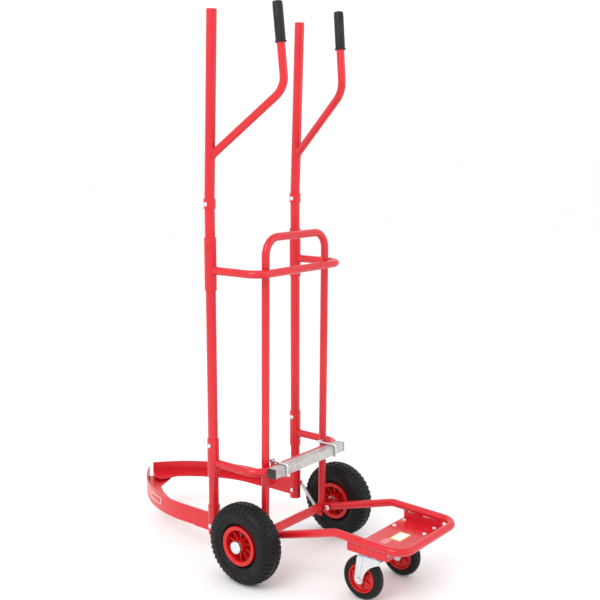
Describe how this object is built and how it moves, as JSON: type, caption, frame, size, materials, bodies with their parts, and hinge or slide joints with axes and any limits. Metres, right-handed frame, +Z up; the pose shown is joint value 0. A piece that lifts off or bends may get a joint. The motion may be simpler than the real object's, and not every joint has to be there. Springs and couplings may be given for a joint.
{
  "type": "tyre hand truck",
  "caption": "Upright tubular hand truck whose turning posts close curved claws round a tyre stack, with a folding swivel-caster frame.",
  "frame": {"origin": "centre of the truck's footprint, on the floor", "axes": "+Z up along the posts, +Y towards the operator and casters, -Y towards the claws, +X the operator's left, along the axle"},
  "size_m": [0.5956, 1.223, 1.7734],
  "materials": {
    "red_powder_coat": "glossy red powder coat",
    "bright_zinc": "bright zinc plate",
    "galvanised_steel": "galvanised, dull",
    "spring_steel": "zinc-plated wire",
    "black_plastic": "matt",
    "grip_rubber": "matt moulded",
    "black_tyre": "matt rubber",
    "red_plastic": "moulded, semi-gloss",
    "bearing_steel": "ground"
  },
  "bodies": {
    "frame": {"frame_legs": "red_powder_coat", "upper_bow": "red_powder_coat", "lower_bow": "red_powder_coat", "left_upper_sleeve": "red_powder_coat", "right_upper_sleeve": "red_powder_coat", "left_lower_sleeve": "red_powder_coat", "right_lower_sleeve": "red_powder_coat", "stop_bolts": "bright_zinc", "axle_tube": "red_powder_coat", "axle": "bright_zinc", "axle_washers": "bright_zinc", "axle_caps": "bright_zinc", "pivot_lugs": "red_powder_coat", "pivot_bolts": "bright_zinc", "spring_tabs": "red_powder_coat", "cross_bar": "galvanised_steel", "bar_end_caps": "black_plastic", "bar_clamps": "bright_zinc"},
    "left_claw": {"left_post": "red_powder_coat", "left_stop_ring": "red_powder_coat", "left_upper_pole": "red_powder_coat", "left_post_bolts": "bright_zinc", "left_handle": "red_powder_coat", "left_grip": "grip_rubber", "left_claw_socket": "red_powder_coat", "left_claw_band": "red_powder_coat", "left_claw_shelf": "red_powder_coat", "left_claw_gusset": "red_powder_coat", "left_spring": "spring_steel"},
    "left_wheel": {"left_wheel_tyre": "black_tyre", "left_wheel_rim": "red_plastic", "left_wheel_bearings": "bearing_steel"},
    "right_claw": {"right_post": "red_powder_coat", "right_stop_ring": "red_powder_coat", "right_upper_pole": "red_powder_coat", "right_post_bolts": "bright_zinc", "right_handle": "red_powder_coat", "right_grip": "grip_rubber", "right_claw_socket": "red_powder_coat", "right_claw_band": "red_powder_coat", "right_claw_shelf": "red_powder_coat", "right_claw_gusset": "red_powder_coat", "right_spring": "spring_steel"},
    "right_wheel": {"right_wheel_tyre": "black_tyre", "right_wheel_rim": "red_plastic", "right_wheel_bearings": "bearing_steel"},
    "caster_frame": {"caster_frame_tube": "red_powder_coat", "caster_channel": "red_powder_coat", "caster_bolts": "bright_zinc", "left_caster_head": "bright_zinc", "right_caster_head": "bright_zinc"},
    "left_caster": {"left_caster_fork": "bright_zinc", "left_caster_axle": "bright_zinc"},
    "left_caster_wheel": {"left_caster_rim": "red_plastic", "left_caster_tyre": "black_tyre"},
    "right_caster": {"right_caster_fork": "bright_zinc", "right_caster_axle": "bright_zinc"},
    "right_caster_wheel": {"right_caster_rim": "red_plastic", "right_caster_tyre": "black_tyre"}
  },
  "joints": [
    {"name": "left_claw_swing", "type": "hinge", "parent": "frame", "child": "left_claw", "pos_m": [0.2115, -0.08696, 0.91], "axis": [0, 0, 1], "range_deg": [0, 30], "deforming": ["left_spring"]},
    {"name": "right_claw_swing", "type": "hinge", "parent": "frame", "child": "right_claw", "pos_m": [-0.2115, -0.08696, 0.91], "axis": [0, 0, -1], "range_deg": [0, 30], "deforming": ["right_spring"]},
    {"name": "caster_frame_fold", "type": "hinge", "parent": "frame", "child": "caster_frame", "pos_m": [0, 0.10904, 0.135], "axis": [1, 0, 0], "range_deg": [0, 55]},
    {"name": "left_caster_swivel", "type": "hinge", "parent": "caster_frame", "child": "left_caster", "pos_m": [0.106, 0.47704, 0.145], "axis": [0, 0, 1], "continuous": true},
    {"name": "left_caster_roll", "type": "hinge", "parent": "left_caster", "child": "left_caster_wheel", "pos_m": [0.106, 0.43104, 0.0685], "axis": [1, 0, 0], "continuous": true},
    {"name": "right_caster_swivel", "type": "hinge", "parent": "caster_frame", "child": "right_caster", "pos_m": [-0.106, 0.47704, 0.145], "axis": [0, 0, 1], "continuous": true},
    {"name": "right_caster_roll", "type": "hinge", "parent": "right_caster", "child": "right_caster_wheel", "pos_m": [-0.106, 0.43104, 0.0685], "axis": [1, 0, 0], "continuous": true},
    {"name": "left_wheel_roll", "type": "hinge", "parent": "frame", "child": "left_wheel", "pos_m": [0.247, 0.07904, 0.13], "axis": [1, 0, 0], "continuous": true},
    {"name": "right_wheel_roll", "type": "hinge", "parent": "frame", "child": "right_wheel", "pos_m": [-0.247, 0.07904, 0.13], "axis": [1, 0, 0], "continuous": true}
  ]
}
